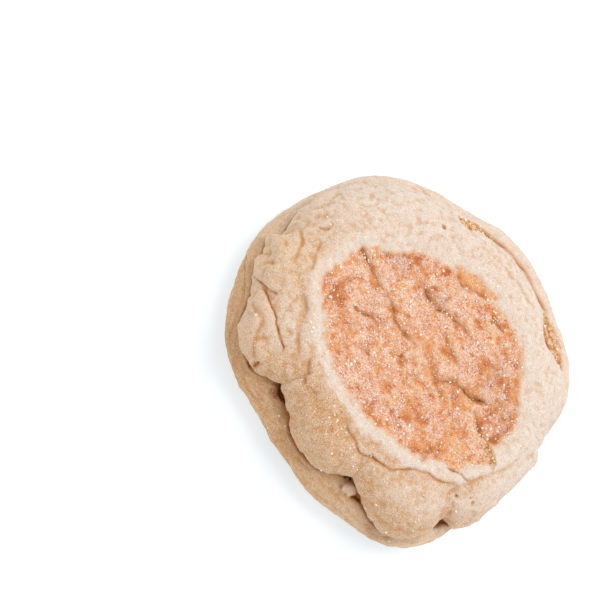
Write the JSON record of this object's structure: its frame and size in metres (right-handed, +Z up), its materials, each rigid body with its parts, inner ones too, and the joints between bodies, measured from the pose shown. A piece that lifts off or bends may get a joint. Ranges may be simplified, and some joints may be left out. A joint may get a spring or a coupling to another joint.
{
  "type": "english muffin",
  "caption": "Round flat griddle-baked bread roll with a toasted top, a folded cap lip and a torn seam round its side.",
  "frame": {"origin": "middle of the flat lower face, on the surface the muffin lies on", "axes": "+Z up, out of the toasted top; -Y towards the side with the drooping folds"},
  "size_m": [0.0958, 0.0876, 0.0297],
  "materials": {
    "crust": "dry floury baked crust with a toasted top"
  },
  "bodies": {
    "root": {"muffin": "crust"}
  },
  "joints": []
}
